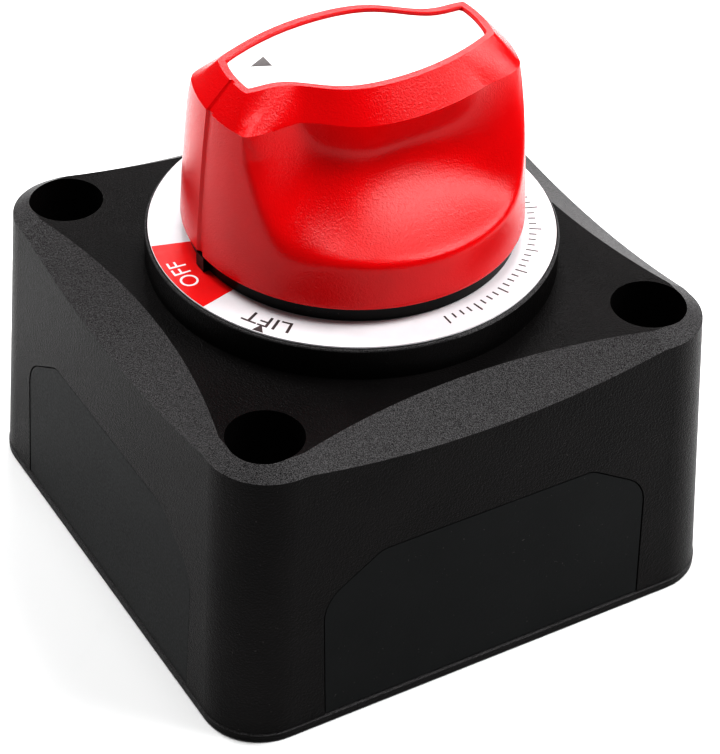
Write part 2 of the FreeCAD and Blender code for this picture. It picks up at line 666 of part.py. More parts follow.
def make_coil(name, across, along, coil, wire, floor, top, turns):
    """A round-wire compression spring standing between two heights."""
    body = new_body(name)
    sketch = body.newObject("Sketcher::SketchObject", "wire")
    attach(sketch, body, "XZ_Plane")
    start = Vector(worth(coil), worth(f"{floor} + {wire}"), 0)
    circle = sketch.addGeometry(Part.Circle(start, Vector(0, 0, 1), worth(wire)), False)
    for kind, text in (("DistanceX", coil), ("DistanceY", f"{floor} + {wire}")):
        number = sketch.addConstraint(Sketcher.Constraint(kind, -1, 1, circle, 3, worth(text)))
        sketch.setExpression(f"Constraints[{number}]", linked(text))
    number = sketch.addConstraint(Sketcher.Constraint("Radius", circle, worth(wire)))
    sketch.setExpression(f"Constraints[{number}]", linked(wire))
    helix = body.newObject("PartDesign::AdditiveHelix", "Coils")
    helix.Profile = sketch
    helix.ReferenceAxis = (sketch, ["V_Axis"])
    helix.Mode = "height-turns-angle"
    helix.Turns = turns
    bind(helix, Height=f"{top} - ({floor}) - 2 * {wire}")
    body.setExpression("Placement.Base.x", linked(across))
    body.setExpression("Placement.Base.y", linked(along))


CONTACT_COILS = 5
DETENT_COILS = 4


def make_springs_and_balls():
    for side, sign in (("a", ""), ("b", "0 - ")):
        make_coil(f"contact_spring_{side}", "0", f"{sign}spring_offset", "spring_radius", "spring_wire",
                  "contact_plane + bridge_lift + bridge_thick", "spring_top", CONTACT_COILS)
        make_coil(f"detent_spring_{side}", f"{sign}detent_offset", "0", "detent_coil", "detent_wire",
                  "detent_floor", "ball_level - ball_radius", DETENT_COILS)
        ball = doc.addObject("Part::Sphere", f"detent_ball_{side}")
        ball.Label = f"detent_ball_{side}"
        bind(ball, Radius="ball_radius", Placement__Base__z="ball_level")
        ball.setExpression("Placement.Base.x", linked(f"{sign}detent_offset"))
        nodes.append(ball)


def make_dial_label():
    body = new_body("dial_label")
    top = "turret_top + dial_thick"
    turned(body, "Ring", [("dial_inner", "turret_top"), ("dial_outer", "turret_top"), ("dial_outer", top),
                          ("dial_inner", top)])


# The knob's outline at a height is one closed curve with a half-turn symmetry: two end arcs of the
# knob's own radius, and two finger scoops whose wall bulges in the middle and is pinched towards
# the pointer end. These numbers shape the scoop's wall.
WALL_CROWN = 0.0175
CROWN_SHIFT = 1.0
PINCH_DEPTH = 2.5
PINCH_PLACE = -11.2
PINCH_WIDTH = 4.3
TUCK_WIDTH = 9.0
WALL_INSET = 1.07
# The scoop runs out lower at both ends: how far in height, from which angle, and how gradually.
FOOT_AT_TAIL = (0.5, 47.0, 4.0)
FOOT_AT_POINTER = (0.8, 146.0, 3.0)
# How steeply the flare sweeps out towards its foot, and how it carries on outwards below the foot.
FLARE_POWER = 1.8
FLARE_BELOW_FOOT = 1.5
# Rounding between scoop and end arc: at the rim, along the tail's side, and what the pointer's side adds.
# It tightens to the rim's own over the last part below the shoulder.
RIM_SOFTNESS = 0.5
TIGHTENS_OVER = 3.0
TAIL_SOFTNESS = 1.6
POINTER_SOFTNESS = 3.4
SOFTENS_AT = 135.0
SOFTENS_OVER = 5.0
STEPS_PER_HALF = 56
CORNER_STEPS = 360
HALVINGS = 30
# Heights of the outlines the grip is lofted through, closer together where the scoop flares out.
GRIP_LEVELS = [45.76, 48.0, 49.8, 50.6, 51.2, 51.8, 52.6, 53.6, 54.8, 56.2, 57.8, 59.6, 61.5, 63.3]


def soft_ramp(distance, softness):
    return softness * math.log(1 + math.exp(min(distance / softness, 50)))


def knob_radius(height):
    rise = height - size("knob_floor")
    return size("knob_radius") - size("knob_lean") * rise - size("knob_curl") * rise**2


def wall_reach(across, height, inset):
    """Distance of the scoop's wall from the knob's long axis, at a place along that axis."""
    deepest = size("scoop_deepest")
    above = max(height - deepest, 0) / (size("knob_shoulder") - deepest)
    tuck = size("waist_tuck") * max(1 - above**2, 0) * math.exp(-(((across - CROWN_SHIFT) / TUCK_WIDTH) ** 2))
    pinch = PINCH_DEPTH * math.exp(-(((across - PINCH_PLACE) / PINCH_WIDTH) ** 2))
    return size("waist") - WALL_CROWN * (across - CROWN_SHIFT) ** 2 - pinch - tuck - WALL_INSET * inset


def wall_radius(angle, height, inset):
    """Radius of the scoop's wall along a ray; the angle runs from 0 at +X down to 180 at -X."""
    low, high = 0.0, 3 * size("knob_radius")
    for _ in range(HALVINGS):
        middle = (low + high) / 2
        across = middle * math.cos(math.radians(angle))
        outside = middle * math.sin(math.radians(angle)) > wall_reach(across, height, inset)
        low, high = (low, middle) if outside else (middle, high)
    return low


def scoop_radius(angle, height, full, wall):
    """Radius of the finger scoop, which flares out from its wall to the rim below it."""
    tail_rise, tail_angle, tail_spread = FOOT_AT_TAIL
    pointer_rise, pointer_angle, pointer_spread = FOOT_AT_POINTER
    foot = size("scoop_foot") + size("scoop_foot_rise") * math.cos(math.radians(angle)) ** 2
    foot += tail_rise * soft_ramp(tail_angle - angle, tail_spread)
    foot += pointer_rise * soft_ramp(angle - pointer_angle, pointer_spread)
    if height < foot:
        return max(wall, full) + FLARE_BELOW_FOOT * (foot - height)
    flare = max(1 - (height - foot) / size("scoop_flare"), 0) ** FLARE_POWER
    return wall + (full - wall) * flare if wall < full else wall


def outline_radius(angle, height, inset):
    """Radius of the knob's outline; only the top's outlines, above the scoops, have an inset."""
    full = knob_radius(min(height, size("knob_shoulder"))) - inset
    wall = wall_radius(angle, height, inset)
    softness = TAIL_SOFTNESS + POINTER_SOFTNESS / (1 + math.exp((SOFTENS_AT - angle) / SOFTENS_OVER))
    soft_share = min(max((size("knob_shoulder") - height) / TIGHTENS_OVER, 0), 1)
    softness = RIM_SOFTNESS + (softness - RIM_SOFTNESS) * soft_share
    if not inset:
        wall = scoop_radius(angle, height, full, wall)
    overlap = max(1 - abs(full - wall) / softness, 0)
    return min(full, wall) - softness * overlap**3 / 6


def corner_angles(height, inset):
    """The two angles where the grip's wall meets its end arcs."""
    full = knob_radius(min(height, size("knob_shoulder"))) - inset
    angles = [180.0 * step / CORNER_STEPS for step in range(CORNER_STEPS + 1)]
    inside = [angle for angle in angles if wall_radius(angle, height, inset) < full]
    return inside[0], inside[-1]


def matched_angle(angle, height, inset):
    """The angle on an upper outline that lies above an angle on the shoulder's, corner over corner."""
    below = (0.0, *corner_angles(size("knob_shoulder"), 0.0), 180.0)
    above = (0.0, *corner_angles(height, inset), 180.0)
    stretch = next(index for index in (0, 1, 2) if angle <= below[index + 1])
    share = (angle - below[stretch]) / (below[stretch + 1] - below[stretch])
    return above[stretch] + share * (above[stretch + 1] - above[stretch])


def knob_outline(height, inset=0.0):
    """A closed curve round the knob at one height, drawn inside its full outline by inset."""
    half = []
    for step in range(STEPS_PER_HALF):
        angle = 180.0 * (step + 0.5) / STEPS_PER_HALF
        if inset:
            angle = matched_angle(angle, height, inset)
        radius = outline_radius(angle, height, inset)
        ray = math.radians(angle)
        half.append(Vector(radius * math.cos(ray), -radius * math.sin(ray), height))
    curve = Part.BSplineCurve()
    curve.interpolate(Points=half + [Vector(-point.x, -point.y, height) for point in half], PeriodicFlag=True)
    return Part.Wire([curve.toShape()])


def slab(inset, floor, thickness):
    """A plate with the knob's top outline drawn in by inset."""
    outline_wire = knob_outline(size("knob_top"), inset)
    outline_wire.translate(Vector(0, 0, floor - size("knob_top")))
    return Part.Face(outline_wire).extrude(Vector(0, 0, thickness))


def make_knob():
    """The grip, from its outlines at rising heights, less its hollow, drive socket and label recess."""
    rows = [knob_outline(height) for height in GRIP_LEVELS + [size("knob_shoulder")]]
    grip = Part.makeLoft(rows, True, True)
    bevel = Part.makeLoft([rows[-1], knob_outline(size("knob_top"), size("bevel_run"))], True, True)
    blank = doc.addObject("Part::Feature", "KnobBlank")
    blank.Shape = grip.fuse(bevel)
    recess = doc.addObject("Part::Feature", "LabelRecess")
    label_floor = size("knob_top") - size("label_sunk") - size("label_thick")
    label_inset = size("bevel_run") + size("label_rim")
    recess.Shape = slab(label_inset, label_floor, size("knob_top") - label_floor + float(PAST))

    hollow = doc.addObject("Part::Cylinder", "KnobHollow")
    bind(hollow, Radius="knob_room", Height=f"knob_room_top - knob_floor + {PAST}",
         Placement__Base__z=f"knob_floor - {PAST}")
    socket = doc.addObject("Part::Cylinder", "RoundSocket")
    bind(socket, Radius="drive_radius + socket_gap", Height="socket_top - knob_floor",
         Placement__Base__z="knob_floor")
    slot = doc.addObject("Part::Box", "BladeSocket")
    bind(slot, Length="2 * (drive_half + socket_gap)", Width="2 * (blade_half + socket_gap)",
         Height="socket_top - knob_floor", Placement__Base__x="0 - drive_half - socket_gap",
         Placement__Base__y="0 - blade_half - socket_gap", Placement__Base__z="knob_floor")
    knob = blank
    for number, tool in enumerate((recess, hollow, socket, slot), start=1):
        cut = doc.addObject("Part::Cut", f"KnobCut{number}")
        cut.Base = knob
        cut.Tool = tool
        knob = cut
    knob.Label = "knob"
    nodes.append(knob)

    label = doc.addObject("Part::Feature", "knob_label")
    label.Label = "knob_label"
    label.Shape = slab(label_inset + size("label_gap"), label_floor, size("label_thick"))
    nodes.append(label)


def write_parts():
    doc.recompute()
    for thing in doc.Objects:
        if "Invalid" in thing.State or "Error" in thing.State:
            raise RuntimeError(f"{thing.Name} did not build: {thing.State}")
    os.makedirs("parts", exist_ok=True)
    for node in nodes:
        if node.Shape.isNull() or not node.Shape.isValid() or not node.Shape.Solids:
            raise RuntimeError(f"{node.Label} has no valid solid")
        node.Shape.exportStep(f"parts/{node.Label}.step")
        print(f"{node.Label:20s} {node.Shape.Volume:10.1f} mm3, {len(node.Shape.Solids)} solid(s)")


fill_sheet()
make_housing()
for panel, quarter in (("side_panel_front", 0), ("side_panel_right", 90), ("side_panel_back", 180),
                       ("side_panel_left", 270)):
    make_side_panel(panel, quarter)
make_rear_cover()
make_cover_rim()
make_contact_block()
make_terminal("left", "0 - stud_offset")
make_terminal("right", "stud_offset")
make_block_screws()
make_rotor()
make_pointer_collar()
make_seal_ring()
make_contact_bridge()
make_springs_and_balls()
make_dial_label()
make_knob()
write_parts()
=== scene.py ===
"""Looks of the battery switch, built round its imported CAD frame. Lengths named _MM are millimetres."""

import functools
import json
import math

import bmesh
import bpy
from mathutils import Matrix, Vector


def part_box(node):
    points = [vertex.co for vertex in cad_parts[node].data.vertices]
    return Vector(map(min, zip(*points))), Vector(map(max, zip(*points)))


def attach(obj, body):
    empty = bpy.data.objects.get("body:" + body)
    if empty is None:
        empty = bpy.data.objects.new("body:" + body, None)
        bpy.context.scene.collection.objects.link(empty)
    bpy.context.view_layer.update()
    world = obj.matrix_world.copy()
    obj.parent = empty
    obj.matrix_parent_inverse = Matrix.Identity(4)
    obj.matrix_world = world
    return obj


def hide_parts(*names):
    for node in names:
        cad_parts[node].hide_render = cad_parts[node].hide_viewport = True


MM = 0.001
MERGE_M = 1e-7
INK_MM = 0.015
NOISE_LOW, NOISE_HIGH = 0.3, 0.7

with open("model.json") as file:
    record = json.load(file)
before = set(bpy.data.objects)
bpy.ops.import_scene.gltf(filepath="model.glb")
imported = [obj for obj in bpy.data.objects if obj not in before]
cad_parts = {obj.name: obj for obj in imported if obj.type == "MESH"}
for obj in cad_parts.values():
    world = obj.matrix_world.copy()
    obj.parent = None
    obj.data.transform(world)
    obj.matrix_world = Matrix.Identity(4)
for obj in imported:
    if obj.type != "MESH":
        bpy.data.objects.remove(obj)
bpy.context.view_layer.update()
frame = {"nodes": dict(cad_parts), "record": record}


# ---------------------------------------------------------------- materials

BLACK = (0, 0, 0, 1)
WHITE = (1, 1, 1, 1)
SLOPE_STOPS = ((0.10, BLACK), (0.45, WHITE), (0.93, WHITE), (0.995, BLACK))
DUST = (0.085, 0.08, 0.075)


class Finish:
    """A material whose node tree is put together one named step at a time."""

    def __init__(self, name, roughness, specular=0.5, metallic=0.0):
        self.material = bpy.data.materials.new(name)
        self.material.use_nodes = True
        self.tree = self.material.node_tree
        self.shader = self.tree.nodes["Principled BSDF"]
        self.shader.inputs["Metallic"].default_value = metallic
        self.shader.inputs["Specular IOR Level"].default_value = specular
        self.shader.inputs["Roughness"].default_value = roughness
        where = self.tree.nodes.new("ShaderNodeTexCoord").outputs
        self.place = where["Object"]
        self.facing = where["Normal"]

    def link(self, source, target):
        self.tree.links.new(source, target)

    def stretched(self, scale):
        mapping = self.tree.nodes.new("ShaderNodeMapping")
        mapping.inputs["Scale"].default_value = scale
        self.link(self.place, mapping.inputs["Vector"])
        return mapping.outputs["Vector"]

    def noise(self, size_mm, detail=2.0, rough=0.5, vector=None):
        """Cloudy noise whose features are about size_mm across."""
        node = self.tree.nodes.new("ShaderNodeTexNoise")
        node.inputs["Scale"].default_value = 1 / (size_mm * MM)
        node.inputs["Detail"].default_value = detail
        node.inputs["Roughness"].default_value = rough
        self.link(vector or self.place, node.inputs["Vector"])
        return node.outputs["Fac"]

    def cells(self, size_mm):
        """Distance to the middle of the nearest of many small pits."""
        node = self.tree.nodes.new("ShaderNodeTexVoronoi")
        node.inputs["Scale"].default_value = 1 / (size_mm * MM)
        self.link(self.place, node.inputs["Vector"])
        return node.outputs["Distance"]

    def slope(self):
        """1 on surfaces that slope up and outwards, 0 on level tops and upright walls."""
        axes = self.tree.nodes.new("ShaderNodeSeparateXYZ")
        self.link(self.facing, axes.inputs["Vector"])
        ramp = self.tree.nodes.new("ShaderNodeValToRGB")
        stops = ramp.color_ramp.elements
        stops[0].position, stops[0].color = SLOPE_STOPS[0]
        stops[1].position, stops[1].color = SLOPE_STOPS[-1]
        for position, colour in SLOPE_STOPS[1:-1]:
            stops.new(position).color = colour
        self.link(axes.outputs["Z"], ramp.inputs["Fac"])
        return ramp.outputs["Color"]

    def ranged(self, value, from_low, from_high, to_low, to_high):
        node = self.tree.nodes.new("ShaderNodeMapRange")
        for socket, number in zip(("From Min", "From Max", "To Min", "To Max"),
                                  (from_low, from_high, to_low, to_high)):
            node.inputs[socket].default_value = number
        self.link(value, node.inputs["Value"])
        return node.outputs["Result"]

    def spread(self, noise, to_low, to_high):
        """Stretch the middle of a noise's range over the range given."""
        return self.ranged(noise, NOISE_LOW, NOISE_HIGH, to_low, to_high)

    def mixed(self, value, first, second):
        """A colour between first and second; either may be a colour or another step's output."""
        node = self.tree.nodes.new("ShaderNodeMix")
        node.data_type = "RGBA"
        self.link(value, node.inputs["Factor"])
        for socket, colour in ((node.inputs[6], first), (node.inputs[7], second)):
            if isinstance(colour, tuple):
                socket.default_value = (*colour, 1.0)
            else:
                self.link(colour, socket)
        return node.outputs[2]

    def sum_of(self, first, second, share):
        node = self.tree.nodes.new("ShaderNodeMath")
        node.operation = "MULTIPLY_ADD"
        self.link(second, node.inputs[0])
        node.inputs[1].default_value = share
        self.link(first, node.inputs[2])
        return node.outputs[0]

    def colour(self, output):
        self.link(output, self.shader.inputs["Base Color"])

    def roughness(self, output):
        self.link(output, self.shader.inputs["Roughness"])

    def bump(self, height, depth_mm, strength=1.0):
        node = self.tree.nodes.new("ShaderNodeBump")
        node.inputs["Strength"].default_value = strength
        node.inputs["Distance"].default_value = depth_mm * MM
        self.link(height, node.inputs["Height"])
        self.link(node.outputs["Normal"], self.shader.inputs["Normal"])


def moulded_black(name, dark, light, roughness, grain_mm, grain_depth_mm, specular, painted_sheen=None):
    """Spark-eroded black plastic: fine pits, a cloudy tone and a few pale flecks of dust.

    A painted sheen colour, if given, speckles the sloping shoulders. It stands in for the light that
    their grain catches in a studio: it isn't a second colour of the plastic.
    """
    finish = Finish(name, roughness, specular)
    cloud = finish.noise(9.0, 3.0)
    tone = finish.mixed(finish.spread(cloud, 0, 1), dark, light)
    fleck = finish.ranged(finish.noise(0.28, 1.0), 0.76, 0.82, 0, 1)
    grain = finish.noise(grain_mm, 2.5, 0.6)
    if painted_sheen:
        # Painted sheen: a paler speckle on the sloping shoulders that stands in for studio light.
        speckle = finish.ranged(finish.noise(0.10, 1.0), 0.34, 0.66, 0, 1)
        tone = finish.mixed(finish.slope(), tone, finish.mixed(speckle, dark, painted_sheen))
    finish.colour(finish.mixed(fleck, tone, DUST))
    finish.roughness(finish.spread(grain, roughness - 0.07, roughness + 0.08))
    finish.bump(finish.sum_of(grain, finish.cells(grain_mm * 1.7), 0.5), grain_depth_mm)
    return finish.material


def moulded_red():
    """The knob's satin red plastic, with the grain of its mould."""
    finish = Finish("knob_red", 0.22, 0.29)
    cloud = finish.spread(finish.noise(7.0, 3.0), 0, 1)
    finish.colour(finish.mixed(cloud, (0.61, 0.0004, 0.0026), (0.67, 0.0006, 0.0040)))
    grain = finish.noise(0.19, 2.0, 0.6)
    finish.roughness(finish.spread(grain, 0.17, 0.26))
    finish.bump(finish.sum_of(grain, finish.cells(0.32), 0.35), 0.036)
    return finish.material


def printed(name, light, dark, roughness=0.42):
    """Printed film or ink: an even tone with a faint mottle and a slight orange peel."""
    finish = Finish(name, roughness, 0.4)
    mottle = finish.spread(finish.noise(1.6, 4.0), 0, 1)
    finish.colour(finish.mixed(mottle, light, dark))
    finish.roughness(finish.spread(finish.noise(0.6), roughness - 0.05, roughness + 0.06))
    finish.bump(finish.noise(0.35, 2.0), 0.003)
    return finish.material


def nylon(name, dark, light):
    """Glass-filled nylon: dull, with short pale fibres near the skin."""
    finish = Finish(name, 0.5, 0.4)
    fibres = finish.noise(0.5, 3.0, 0.7, finish.stretched((1.0, 0.25, 1.0)))
    finish.colour(finish.mixed(finish.ranged(fibres, 0.42, 0.72, 0, 1), dark, light))
    finish.roughness(finish.spread(finish.noise(1.2), 0.42, 0.58))
    finish.bump(finish.noise(0.3, 3.0), 0.012)
    return finish.material


def metal(name, bright, dull, roughness, grain):
    """Plated or drawn metal: fine lines along its working direction and dull patches of handling."""
    finish = Finish(name, roughness, 0.5, 1.0)
    patches = finish.ranged(finish.noise(4.0, 4.0), 0.35, 0.7, 0, 1)
    finish.colour(finish.mixed(patches, bright, dull))
    lines = finish.noise(0.5, 3.0, 0.6, finish.stretched(grain))
    finish.roughness(finish.spread(lines, roughness - 0.08, roughness + 0.12))
    finish.bump(lines, 0.006)
    return finish.material


def rubber():
    """The seal's rubber, with the grey bloom of age."""
    finish = Finish("seal_rubber", 0.72, 0.3)
    bloom = finish.ranged(finish.noise(1.5, 4.0), 0.4, 0.75, 0, 1)
    finish.colour(finish.mixed(bloom, (0.012, 0.012, 0.012), (0.035, 0.034, 0.033)))
    finish.bump(finish.noise(0.2, 2.0), 0.01)
    return finish.material


SLOT_FINISH = {
    # The case's last colour is a painted sheen for its sloping shoulders, not a colour of the plastic.
    "case_plastic": moulded_black("case_black", (0.0070, 0.0063, 0.0064), (0.0100, 0.0089, 0.0090),
                                  0.36, 0.17, 0.075, 0.09, (0.110, 0.107, 0.109)),
    "panel_plastic": moulded_black("panel_black", (0.0125, 0.0134, 0.0137), (0.0150, 0.0160, 0.0163),
                                   0.42, 0.26, 0.008, 0.08),
    "collar_plastic": moulded_black("collar_black", (0.004, 0.004, 0.004), (0.007, 0.007, 0.007),
                                    0.34, 0.3, 0.006, 0.2),
    "knob_plastic": moulded_red(),
    "label_white": printed("film_white", (0.93, 0.93, 0.935), (0.90, 0.90, 0.91), 0.36),
    "dial_print": printed("dial_white", (0.79, 0.78, 0.80), (0.75, 0.745, 0.765)),
    "rotor_plastic": nylon("rotor_nylon", (0.035, 0.035, 0.038), (0.075, 0.075, 0.08)),
    "block_plastic": nylon("block_nylon", (0.05, 0.05, 0.055), (0.11, 0.11, 0.115)),
    "copper": metal("tinned_copper", (0.80, 0.45, 0.30), (0.60, 0.31, 0.20), 0.30, (1.0, 0.12, 1.0)),
    "steel": metal("zinc_steel", (0.66, 0.67, 0.68), (0.48, 0.49, 0.51), 0.32, (1.0, 1.0, 0.15)),
    "rubber_black": rubber(),
}
INK_RED = printed("ink_red", (0.78, 0.004, 0.006), (0.72, 0.003, 0.005))
INK_GREEN = printed("ink_green", (0.012, 0.30, 0.06), (0.010, 0.26, 0.05))
INK_WHITE = printed("ink_white", (0.90, 0.89, 0.90), (0.85, 0.84, 0.86))
INK_DARK = printed("ink_dark", (0.055, 0.045, 0.045), (0.085, 0.072, 0.072))


def dress_cad_nodes():
    """Give every CAD node the finish of its own material slot."""
    for entry in frame["record"]["subparts"]:
        mesh = frame["nodes"][entry["node"]].data
        mesh.materials.clear()
        mesh.materials.append(SLOT_FINISH[entry["material_slot"]])


# ---------------------------------------------------------------- making pieces

def new_piece(name, shape, material, body, replaces=()):
    """Turn a bmesh into a piece that rides on a body."""
    mesh = bpy.data.meshes.new(name)
    shape.to_mesh(mesh)
    shape.free()
    mesh.materials.append(material)
    piece = bpy.data.objects.new(name, mesh)
    bpy.context.scene.collection.objects.link(piece)
    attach(piece, body)
    if replaces:
        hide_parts(*replaces)
    return piece


def smooth_by_angle(shape, degrees):
    """Smooth shading, with edges sharper than the angle kept crisp."""
    for face in shape.faces:
        face.smooth = True
    for edge in shape.edges:
        shared = len(edge.link_faces) == 2
        edge.smooth = shared and edge.calc_face_angle(math.pi) < math.radians(degrees)


def spun(profile, steps):
    """Revolve an open profile of (radius, height) points, in metres, all the way round +Z."""
    shape = bmesh.new()
    verts = [shape.verts.new((radius, 0, height)) for radius, height in profile]
    edges = [shape.edges.new(pair) for pair in zip(verts, verts[1:])]
    bmesh.ops.spin(shape, geom=verts + edges, cent=(0, 0, 0), axis=(0, 0, 1), angle=math.tau, steps=steps,
                   use_merge=True)
    bmesh.ops.remove_doubles(shape, verts=shape.verts, dist=MERGE_M)
    return shape


def raised(shape, height):
    """Give a flat shape its thickness, drawn straight up."""
    lid = bmesh.ops.extrude_face_region(shape, geom=shape.faces[:])["geom"]
    verts = [item for item in lid if isinstance(item, bmesh.types.BMVert)]
    bmesh.ops.translate(shape, verts=verts, vec=(0, 0, height))
    bmesh.ops.recalc_face_normals(shape, faces=shape.faces)


# ---------------------------------------------------------------- knob

# Heights and outline of the whole grip.
KNOB_LOW, KNOB_HIGH = (corner.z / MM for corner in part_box("knob"))
SHOULDER_MM = KNOB_HIGH - 3.2
FOOT_RADIUS_MM = 20.66
LEAN = 0.0408
BARREL_PER_MM = 0.00183

# The bevel round the top, and the bed that the white film lies in.
BEVEL_RUN_MM = 2.9
RIM_MM = 0.95
LABEL_DROP_MM = 0.4
FILM_MM = 0.5
FILM_BED_MM = 0.05
FILM_GAP_MM = 0.04
FILM_ROUND_MM = 0.05
FILM_STEPS = 240
ARROW_MM = ((-12.66, 2.38), (-10.32, 1.36), (-10.32, 3.62))

# The wall of a finger scoop: its waist, the bow along it, the tuck low down and the pinch at the tail.
WAIST_MM = 11.75
WAIST_AT_MM = 1.0
BOW_PER_MM = 0.0175
TUCK_MM = 3.0
TUCK_SPREAD_MM = 9.0
PINCH_MM = 2.5
PINCH_AT_MM = -11.2
PINCH_SPREAD_MM = 4.3
WALL_INSET_SHARE = 1.07
WIDEST_MM = 60.0
HALVINGS = 30

# The foot of a scoop, each end's share as (rise, angle, spread), and the flare up from it.
SCOOP_DEEPEST_MM = 57.5
SCOOP_FOOT_MM = 51.6
SCOOP_FOOT_RISE_MM = 1.5
FOOT_AT_TAIL = (0.5, 47, 4)
FOOT_AT_POINTER = (0.8, 146, 3)
SCOOP_FLARE_MM = 9.5
FLARE_POWER = 1.8
FLARE_BELOW_FOOT = 1.5

# Rounding between a scoop and the end arcs.
RIM_SOFTNESS_MM = 0.5
TAIL_SOFTNESS_MM = 1.1
POINTER_SOFTNESS_MM = 3.4
SOFTENS_AT = 135
SOFTENS_OVER = 5
TIGHTENS_OVER_MM = 3

# The hollow under the rim, the drive socket above it, and the pointer groove.
HOLLOW_MM = 17.8
HOLLOW_ROOF_MM = 48.6
SOCKET_ROUND_MM = 5.65
SOCKET_HALF_MM = (12.65, 2.75)
SOCKET_ROOF_MM = 60.6
GROOVE_MM = 1.05
GROOVE_DEEP_MM = 0.32
GROOVE_EDGE_MM = 0.12
GROOVE_AT_SKIRT_MM = 20
GROOVE_AT_BEVEL_MM = 18

# How finely the skin is divided, and the small roundings at its edges.
OUTLINE_STEPS = 720
STEPS_PER_DEGREE = 4
LABEL_BED_SHARES = (0.0, 0.35, 0.7, 1.0)
BED_EDGE_MM = 0.02
LIP_DROP_MM = 0.12
LIP_RUN_MM = 0.1
BEVEL_ROWS = 8
FIRST_ROW_MM = 0.1
SCOOP_ROW_MM = 0.3
SCOOP_ROWS = 44
FOOT_ROWS_TOP_MM = 51.7
FOOT_ROW_MM = 0.2
FOOT_ROWS = 12
SKIRT_ROWS_MM = (48.8, 48.0, 47.0, 46.4)
SKIRT_EDGE_MM = 0.3
FOOT_ROUNDING = ((0.08, 0.07), (0.0, 0.3))
MOUTH_EDGE_MM = 0.2


def soft_ramp(distance, softness):
    """Nothing below zero and a straight rise above it, with a rounded start."""
    return softness * math.log(1 + math.exp(min(distance / softness, 50)))


def full_radius(height):
    """Radius of the knob where no scoop cuts into it."""
    rise = height - KNOB_LOW
    return FOOT_RADIUS_MM - LEAN * rise - BARREL_PER_MM * rise**2


def wall_reach(across, height, inset):
    """How far a finger scoop's wall stands from the grip's long axis."""
    above = max(height - SCOOP_DEEPEST_MM, 0) / (SHOULDER_MM - SCOOP_DEEPEST_MM)
    from_waist = across - WAIST_AT_MM
    tuck = TUCK_MM * max(1 - above**2, 0) * math.exp(-((from_waist / TUCK_SPREAD_MM) ** 2))
    pinch = PINCH_MM * math.exp(-(((across - PINCH_AT_MM) / PINCH_SPREAD_MM) ** 2))
    return WAIST_MM - BOW_PER_MM * from_waist**2 - pinch - tuck - WALL_INSET_SHARE * inset


@functools.lru_cache(maxsize=None)
def wall_radius(angle, height, inset):
    """Where a ray from the axis meets a finger scoop's wall, found by halving."""
    low, high = 0.0, WIDEST_MM
    for _ in range(HALVINGS):
        middle = (low + high) / 2
        if middle * math.sin(angle) > wall_reach(middle * math.cos(angle), height, inset):
            high = middle
        else:
            low = middle
    return low


def scoop_radius(degrees, height, full, wall):
    """The finger scoop, flaring out from its wall to the rim below it."""
    foot = SCOOP_FOOT_MM + SCOOP_FOOT_RISE_MM * math.cos(math.radians(degrees)) ** 2
    tail_rise, tail_at, tail_over = FOOT_AT_TAIL
    pointer_rise, pointer_at, pointer_over = FOOT_AT_POINTER
    foot += tail_rise * soft_ramp(tail_at - degrees, tail_over)
    foot += pointer_rise * soft_ramp(degrees - pointer_at, pointer_over)
    if height < foot:
        return max(wall, full) + FLARE_BELOW_FOOT * (foot - height)
    flare = max(1 - (height - foot) / SCOOP_FLARE_MM, 0) ** FLARE_POWER
    return wall + (full - wall) * flare if wall < full else wall


def grip_radius(angle, height, inset=0.0):
    """Radius of the grip along a ray; the angle runs clockwise from +X and repeats each half turn."""
    angle = round(angle % math.pi, 7)
    degrees = math.degrees(angle)
    full = full_radius(min(height, SHOULDER_MM)) - inset
    wall = wall_radius(angle, height, inset)
    soft_share = min(max((SHOULDER_MM - height) / TIGHTENS_OVER_MM, 0), 1)
    pointer_side = 1 / (1 + math.exp((SOFTENS_AT - degrees) / SOFTENS_OVER))
    softness = RIM_SOFTNESS_MM + (TAIL_SOFTNESS_MM + POINTER_SOFTNESS_MM * pointer_side) * soft_share
    if height <= SHOULDER_MM:
        wall = scoop_radius(degrees, height, full, wall)
    overlap = max(1 - abs(full - wall) / softness, 0)
    return min(full, wall) - softness * overlap**3 / 6


def socket_radius(angle):
    """Outline of the drive socket: a round hole with a slot across it."""
    half_x, half_y = SOCKET_HALF_MM
    slot = min(half_x / max(abs(math.cos(angle)), 1e-6), half_y / max(abs(math.sin(angle)), 1e-6))
    return max(slot, SOCKET_ROUND_MM)


def groove_depth(angle, radius):
    """Depth of the pointer groove that runs down the grip's -X end."""
    off_middle = abs(math.remainder(angle - math.pi, math.tau)) * radius
    return GROOVE_DEEP_MM * max(0.0, min(1.0, (GROOVE_MM / 2 - off_middle) / GROOVE_EDGE_MM + 0.5))


def corner_angles(height, inset):
    """The two angles, in degrees, where the grip's wall meets its end arcs."""
    full = full_radius(min(height, SHOULDER_MM)) - inset
    tried = [step / STEPS_PER_DEGREE for step in range(180 * STEPS_PER_DEGREE + 1)]
    inside = [degrees for degrees in tried if wall_radius(math.radians(degrees), height, inset) < full]
    return inside[0], inside[-1]


def matcher(height, inset):
    """A function from an angle on the shoulder's outline to the one above it, corner over corner."""
    below = (0.0, *corner_angles(SHOULDER_MM, 0.0), 180.0)
    above = (0.0, *corner_angles(height, inset), 180.0)

    def matched(angle):
        half, degrees = divmod(math.degrees(angle) % 360, 180)
        stretch = next(index for index in (0, 1, 2) if degrees <= below[index + 1])
        share = (degrees - below[stretch]) / (below[stretch + 1] - below[stretch])
        moved = above[stretch] + share * (above[stretch + 1] - above[stretch])
        return math.radians(half * 180 + moved)
    return matched


def round_point(angle, radius):
    """The point at an angle that runs clockwise from +X."""
    return Vector((radius * math.cos(angle), -radius * math.sin(angle)))


